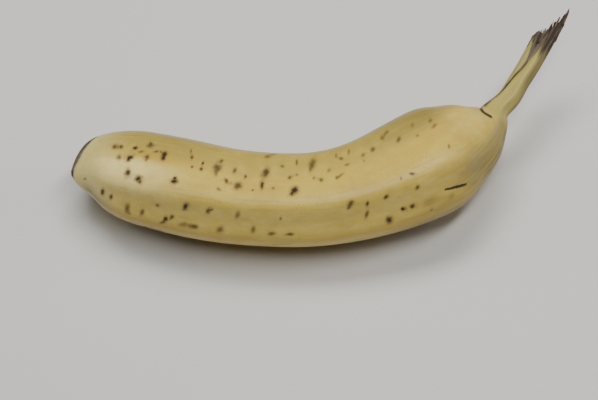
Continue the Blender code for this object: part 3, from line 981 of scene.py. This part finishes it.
# Painted reflection of the floor: a pale strip just above the lower edge.
lower_crest_deg = read_value(tree, "lower_crest")
reflected_light = ease(tree, lower_crest_deg, *REFLECTED_LOW_EDGE_DEG)
reflected_light = times(tree, reflected_light, ease(tree, lower_crest_deg, *REFLECTED_HIGH_EDGE_DEG))
reflected_light = times(tree, reflected_light, ease(tree, mottle, *REFLECTED_MOTTLE))
reflected_light = times(tree, reflected_light, ease(tree, station_value, *REFLECTED_STATIONS))
colour = blend_colours(tree, reflected_light, colour, REFLECTION_COLOUR)
freckle_share = times(tree, ease(tree, freckles, *FRECKLE_RAMP), ease(tree, clouds, *FRECKLE_CLOUDS))
colour = blend_colours(tree, freckle_share, colour, BRUISE_BROWN)

offset_input = ((0, read_vector(tree, "from_fleck")),)
away = add_node(tree, "ShaderNodeVectorMath", offset_input, operation="LENGTH").outputs["Value"]
least_away = calculate(tree, "SUBTRACT", read_value(tree, "fleck"), FLECK_ROUNDING)
away = calculate(tree, "MAXIMUM", away, least_away)
lumpy = swing(tree, grain(tree, place, FLECK_GRAIN, detail=2.0))
fleck_edge = fray(tree, plus(tree, away, lumpy), ragged, FLECK_FRAY)
fleck_strength = ease(tree, read_value(tree, "fleck_tone"), *FLECK_STRENGTH)
halo_share = times(tree, ease(tree, fleck_edge, *FLECK_HALO_RAMP), fleck_strength)
core_share = times(tree, ease(tree, fleck_edge, *FLECK_CORE_RAMP), fleck_strength)
colour = blend_colours(tree, halo_share, colour, FLECK_HALO)
colour = blend_colours(tree, core_share, colour, FLECK_BROWN)

nick_edge = fray(tree, read_value(tree, "nick"), ragged, NICK_FRAY)
colour = blend_colours(tree, ease(tree, nick_edge, *NICK_RAMP), colour, FLECK_BROWN)
# The dark lines in the fold and the groove are partly browning, partly painted shade.
groove_edge = fray(tree, read_value(tree, "groove"), ragged, GROOVE_FRAY)
groove_start = ease(tree, station_value, *GROOVE_LINE_START)
groove_share = times(tree, ease(tree, groove_edge, *GROOVE_RAMP), groove_start)
crease_edge = fray(tree, read_value(tree, "crease"), ragged, CREASE_FRAY)
line_share = calculate(tree, "MAXIMUM", groove_share, ease(tree, crease_edge, *CREASE_RAMP))
colour = blend_colours(tree, line_share, colour, LINE_BROWN_AND_SHADE)

dead = add_node(tree, "ShaderNodeGroup", node_tree=dry_fibre)
tree.links.new(place, dead.inputs["Place"])
dead_swing = swing(tree, grain(tree, place, DEAD_EDGE_GRAIN), DEAD_EDGE_REACH)
dead_stem = ease(tree, plus(tree, read_value(tree, "dead"), dead_swing), *DEAD_STEM_RAMP)
tip_edge = fray(tree, read_value(tree, "dry_end"), ragged, TIP_FRAY)
tip_edge = plus(tree, tip_edge, swing(tree, mottle, TIP_WANDER))
colour = blend_colours(tree, ease(tree, tip_edge, *TIP_BRUISE_RAMP), colour, BRUISE_BROWN)
dead_share = calculate(tree, "MAXIMUM", dead_stem, ease(tree, tip_edge, *DEAD_TIP_RAMP))
grey_streaks = ease(tree, grain(tree, place, GREY_GRAIN), *GREY_RAMP)
grey_share = times(tree, grey_streaks, read_value(tree, "dead_grey"))
dead_colour = blend_colours(tree, grey_share, dead.outputs["Colour"], DEAD_GREY)
colour = blend_colours(tree, dead_share, colour, dead_colour)
tree.links.new(colour, shader.inputs["Base Color"])

dry = calculate(tree, "MAXIMUM", dead_share, core_share)
roughness = plus(tree, ease(tree, mottle, *WAXY_ROUGHNESS), times(tree, dry, DRY_ROUGHNESS))
tree.links.new(roughness, shader.inputs["Roughness"])
tree.links.new(ease(tree, dry, *WAX_COAT), shader.inputs["Coat Weight"])
shader.inputs["Coat Roughness"].default_value = WAX_COAT_ROUGHNESS

relief = plus(tree, times(tree, pores, PORE_RELIEF), times(tree, streaks, STREAK_RELIEF))
dead_relief = times(tree, times(tree, dead.outputs["Relief"], dead_share), DEAD_RELIEF)
relief = plus(tree, relief, dead_relief)
relief = calculate(tree, "SUBTRACT", relief, times(tree, core_share, FLECK_RELIEF))
add_bump(tree, shader, PEEL_BUMP, PEEL_BUMP_HEIGHT, relief)

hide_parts("plantain")
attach(peel, "root")

# Torn fibres
# The stem was pulled off its bunch, which left a tuft of dark, dried fibres: a few stout
# splinters, the longest on the outer side, and many fine strands between them. They are rooted
# in the torn end and are part of the stem.
SPLINTERS = [
    # round, out, length, thickness, lean
    (-8, 0.67, 16.6 * MM, 4.8 * MM, -0.03),
    (-2, 0.60, 11.0 * MM, 4.4 * MM, 0.00),
    (30, 0.55, 9.0 * MM, 3.0 * MM, 0.05),
    (66, 0.46, 5.4 * MM, 2.4 * MM, 0.00),
    (-48, 0.60, 8.0 * MM, 2.6 * MM, 0.16),
    (-88, 0.56, 4.6 * MM, 2.2 * MM, 0.10),
    (100, 0.62, 5.6 * MM, 2.4 * MM, -0.06),
    (-128, 0.56, 4.4 * MM, 2.4 * MM, 0.06),
    (140, 0.60, 4.6 * MM, 2.6 * MM, -0.10),
    (172, 0.64, 3.6 * MM, 2.4 * MM, -0.20),
    (204, 0.62, 4.4 * MM, 2.4 * MM, -0.16),
    (20, 0.16, 5.0 * MM, 2.6 * MM, 0.10),
    (170, 0.20, 4.6 * MM, 2.6 * MM, -0.12),
]
SPLINTER_SIDES = 9
SPLINTER_TIP_RADIUS = 0.35 * MM
STRANDS = 80
STRAND_SEED = 17
STRAND_SIDES = 5
STRAND_TIP_RADIUS = 0.12 * MM
STRAND_OUTERMOST = 0.95
STRAND_SCATTER = 0.8
STRAND_CROWDING = 1.6
STRAND_LENGTHS_MM = (2.0, 4.6)
OUTER_EXTRA_MM = 2.6
STRAND_THICKNESSES_MM = (1.0, 2.0)
STRAND_LEANS = (-0.16, 0.22)
STRAND_CURLS = (-0.2, 0.25)
STRAND_ROOT = 5.0 * MM
STRAND_CUTS = 6
STRAND_FLATNESS = 0.7
WOBBLE_GRAIN = 500
WOBBLE_OUT_GRAIN = 9
WOBBLE_SEED = 4
WIDE_WOBBLE = 0.035
FLAT_WOBBLE = 0.03
SHARP_EDGE_DEG = 50
FIBRE_SPECULAR = 0.25
FIBRE_ROUGHNESS = 0.8
FIBRE_BUMP = 0.7
FIBRE_BUMP_HEIGHT = 0.2 * MM

torn_station = np.array((float(LAST_STATION),))
end_facing, end_outward, end_upward = (Vector(axis[0]) for axis in section_axes(torn_station))


def add_strand(name, sides, tip_radius, round_deg, out, length, thickness, lean, curl=0.0):
    """One tapered strand, rooted in the torn end, a little flat and curled."""
    at = np.array((float(round_deg),))
    root = on_skin(torn_station, at, np.array((out,)), np.array((-STRAND_ROOT,))) + to_table
    turn = math.radians(round_deg)
    side = math.cos(turn) * end_outward + math.sin(turn) * end_upward
    direction = (end_facing - lean * side).normalized()
    whole = length + STRAND_ROOT
    deselect_all()
    bpy.ops.mesh.primitive_cone_add(
        vertices=sides,
        radius1=thickness / 2,
        radius2=tip_radius,
        depth=whole,
        location=(0, 0, whole / 2),
    )
    strand = bpy.context.object
    strand.name = name
    bpy.ops.object.transform_apply(location=True, rotation=True, scale=True)
    bpy.ops.object.mode_set(mode="EDIT")
    select_edges(strand, lambda way: abs(way.z) > whole / 2)
    bpy.ops.mesh.subdivide(number_cuts=STRAND_CUTS)
    bpy.ops.mesh.select_all(action="SELECT")
    bpy.ops.transform.resize(value=(1, STRAND_FLATNESS, 1), center_override=(0, 0, 0))
    bpy.ops.object.mode_set(mode="OBJECT")
    for vertex in strand.data.vertices:
        rise = max(0.0, (vertex.co.z - STRAND_ROOT) / length)
        place = vertex.co.z * WOBBLE_GRAIN
        wide_wobble = noise.noise(Vector((place, round_deg, out * WOBBLE_OUT_GRAIN)))
        flat_wobble = noise.noise(Vector((round_deg, place, WOBBLE_SEED)))
        vertex.co.x += length * (curl * rise**2 + WIDE_WOBBLE * wide_wobble * rise)
        vertex.co.y += length * FLAT_WOBBLE * flat_wobble * rise
    across_side = side.cross(direction).normalized()
    axes = Matrix((across_side.cross(direction), across_side, direction)).transposed()
    strand.data.transform(Matrix.Translation(Vector(root[0])) @ axes.to_4x4())
    return strand


strands = []
for number, row in enumerate(SPLINTERS):
    strands.append(add_strand(f"splinter_{number}", SPLINTER_SIDES, SPLINTER_TIP_RADIUS, *row))
draw = random.Random(STRAND_SEED)
for number in range(STRANDS):
    round_deg = draw.uniform(0, 360)
    out = STRAND_OUTERMOST * (1 - STRAND_SCATTER * draw.random() ** STRAND_CROWDING)
    extra_mm = OUTER_EXTRA_MM * (0.5 + 0.5 * math.cos(math.radians(round_deg)))
    length = draw.uniform(STRAND_LENGTHS_MM[0], STRAND_LENGTHS_MM[1] + extra_mm) * MM
    thickness = draw.uniform(*STRAND_THICKNESSES_MM) * MM
    lean = draw.uniform(*STRAND_LEANS)
    curl = draw.uniform(*STRAND_CURLS)
    row = (round_deg, out, length, thickness, lean, curl)
    strands.append(add_strand(f"strand_{number}", STRAND_SIDES, STRAND_TIP_RADIUS, *row))
deselect_all()
for strand in strands:
    strand.select_set(True)
bpy.context.view_layer.objects.active = strands[0]
bpy.ops.object.join()
torn_fibres = bpy.context.object
torn_fibres.name = "torn_fibres"
face_outwards()
bpy.ops.object.shade_smooth_by_angle(angle=math.radians(SHARP_EDGE_DEG))
keep_in_box(torn_fibres)

to_stem = np.array((end_facing, end_outward, end_upward))
keep_on_points(torn_fibres, "straight", places_of(torn_fibres) @ to_stem.T)


def add_dry_fibre(piece, name, specular, roughness, bump_strength, fineness=1.0):
    """Gives the piece a material of dried fibre, along its stored places."""
    tree, shader = add_material(piece, name, specular, roughness)
    look = add_node(tree, "ShaderNodeGroup", node_tree=dry_fibre)
    tree.links.new(read_vector(tree, "straight"), look.inputs["Place"])
    look.inputs["Fineness"].default_value = fineness
    tree.links.new(look.outputs["Colour"], shader.inputs["Base Color"])
    add_bump(tree, shader, bump_strength, FIBRE_BUMP_HEIGHT, look.outputs["Relief"])


add_dry_fibre(torn_fibres, "dried_fibre", FIBRE_SPECULAR, FIBRE_ROUGHNESS, FIBRE_BUMP)
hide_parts("plantain")
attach(torn_fibres, "root")

# Blossom scar
# The flower fell from the fruit's blunt end and left a dry, dark button there, with a raised
# rim in five low lobes round a sunken, cracked middle. It is grown into the peel.
SCAR_STEPS = 60
SCAR_RIM = 1.12
SCAR_RINGS_MM = [
    # inwards, up
    (0.2, 0.25),
    (0.2, 0.1),
    (0.2, -0.05),
    (0.2, -0.2),
    (0.2, -0.15),
    (0.25, 0.1),
    (0.2, 0.1),
]
SCAR_LOBES = 5
SCAR_LOBE_SIZE = 0.09
SCAR_CRACK_GRAIN = 4
SCAR_RING_GRAIN = 1.5
SCAR_CRACK_WIDTH = 0.08
SCAR_CRACK_HEIGHT = 0.15 * MM
SCAR_SINK = 0.45 * MM
SCAR_FINENESS = 1.4
SCAR_SPECULAR = 0.2
SCAR_ROUGHNESS = 0.85
SCAR_BUMP = 0.8

deselect_all()
bpy.ops.mesh.primitive_circle_add(vertices=SCAR_STEPS, radius=SCAR_RADIUS * SCAR_RIM, fill_type="NGON")
scar = bpy.context.object
scar.name = "blossom_scar"
bpy.ops.object.mode_set(mode="EDIT")
bpy.ops.mesh.select_all(action="SELECT")
for inwards_mm, up_mm in SCAR_RINGS_MM:
    bpy.ops.mesh.inset(thickness=inwards_mm * MM, depth=up_mm * MM)
bpy.ops.object.mode_set(mode="OBJECT")
for vertex in scar.data.vertices:
    around = math.atan2(vertex.co.y, vertex.co.x)
    reach = vertex.co.to_2d().length / SCAR_RADIUS
    across_crack = math.cos(around) * SCAR_CRACK_GRAIN
    up_crack = math.sin(around) * SCAR_CRACK_GRAIN
    crack = noise.noise(Vector((across_crack, up_crack, reach * SCAR_RING_GRAIN)))
    lobe = 1 + SCAR_LOBE_SIZE * math.cos(SCAR_LOBES * around) * reach
    vertex.co.x *= lobe * (1 + SCAR_CRACK_WIDTH * crack)
    vertex.co.y *= lobe * (1 + SCAR_CRACK_WIDTH * crack)
    vertex.co.z += SCAR_CRACK_HEIGHT * crack * min(1, reach * 2)
tip_place = Vector((middle(np.array((0.0,))) + to_table)[0])
tip_facing = Vector(DOME_FACING)
scar_turn = (-tip_facing).to_track_quat("Z", "Y").to_matrix().to_4x4()
scar.data.transform(Matrix.Translation(tip_place + tip_facing * SCAR_SINK) @ scar_turn)
keep_in_box(scar)
bpy.ops.object.shade_smooth()
keep_on_points(scar, "straight", places_of(scar) - np.array(tip_place))

add_dry_fibre(scar, "dried_scar", SCAR_SPECULAR, SCAR_ROUGHNESS, SCAR_BUMP, SCAR_FINENESS)
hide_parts("plantain")
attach(scar, "root")

# Floor and light
# The fruit lies on a plain, pale, matt surface. A long, narrow soft light high in front draws
# the sheen along the body, a large one overhead, a little behind, lays the soft shadow, and
# two weak ones at the sides lift the ends.
FLOOR_COLOUR = (0.60, 0.583, 0.550, 1)
FLOOR_SPECULAR = 0.1
FLOOR_ROUGHNESS = 0.95
FLOOR_SIZE = 6
FLOOR_DROP = 0.1 * MM
SOFT_LIGHTS = [
    # name, place, size, power, shows in the sheen
    ("front_light", (0.25, -0.25, 1.08), (1.0, 0.14), 9.2, True),
    ("top_light", (-0.10, 0.38, 1.12), (0.9, 0.4), 11.8, False),
    ("blossom_light", (-0.70, 0.06, 0.45), (0.4, 0.4), 0.9, True),
    ("stem_light", (0.75, 0.00, 0.40), (0.4, 0.4), 1.0, True),
]
FILL_COLOUR = (1, 1, 1, 1)
FILL_STRENGTH = 0.05

deselect_all()
bpy.ops.mesh.primitive_plane_add(size=FLOOR_SIZE, location=(0, 0, -FLOOR_DROP))
floor = bpy.context.object
floor.name = "floor"
bpy.ops.object.transform_apply(location=True, rotation=True, scale=True)
tree, shader = add_material(floor, "matt_floor", FLOOR_SPECULAR, FLOOR_ROUGHNESS)
shader.inputs["Base Color"].default_value = FLOOR_COLOUR

for name, place, size, power, in_sheen in SOFT_LIGHTS:
    light = bpy.data.lights.new(name, "AREA")
    light.shape = "RECTANGLE"
    light.size, light.size_y = size
    light.energy = power
    softbox = bpy.data.objects.new(name, light)
    softbox.location = place
    softbox.rotation_euler = Vector(place).to_track_quat("Z", "Y").to_euler()
    softbox.visible_glossy = in_sheen
    bpy.context.scene.collection.objects.link(softbox)

world = bpy.data.worlds.new("studio")
world.use_nodes = True
world.node_tree.nodes["Background"].inputs["Color"].default_value = FILL_COLOUR
world.node_tree.nodes["Background"].inputs["Strength"].default_value = FILL_STRENGTH
bpy.context.scene.world = world
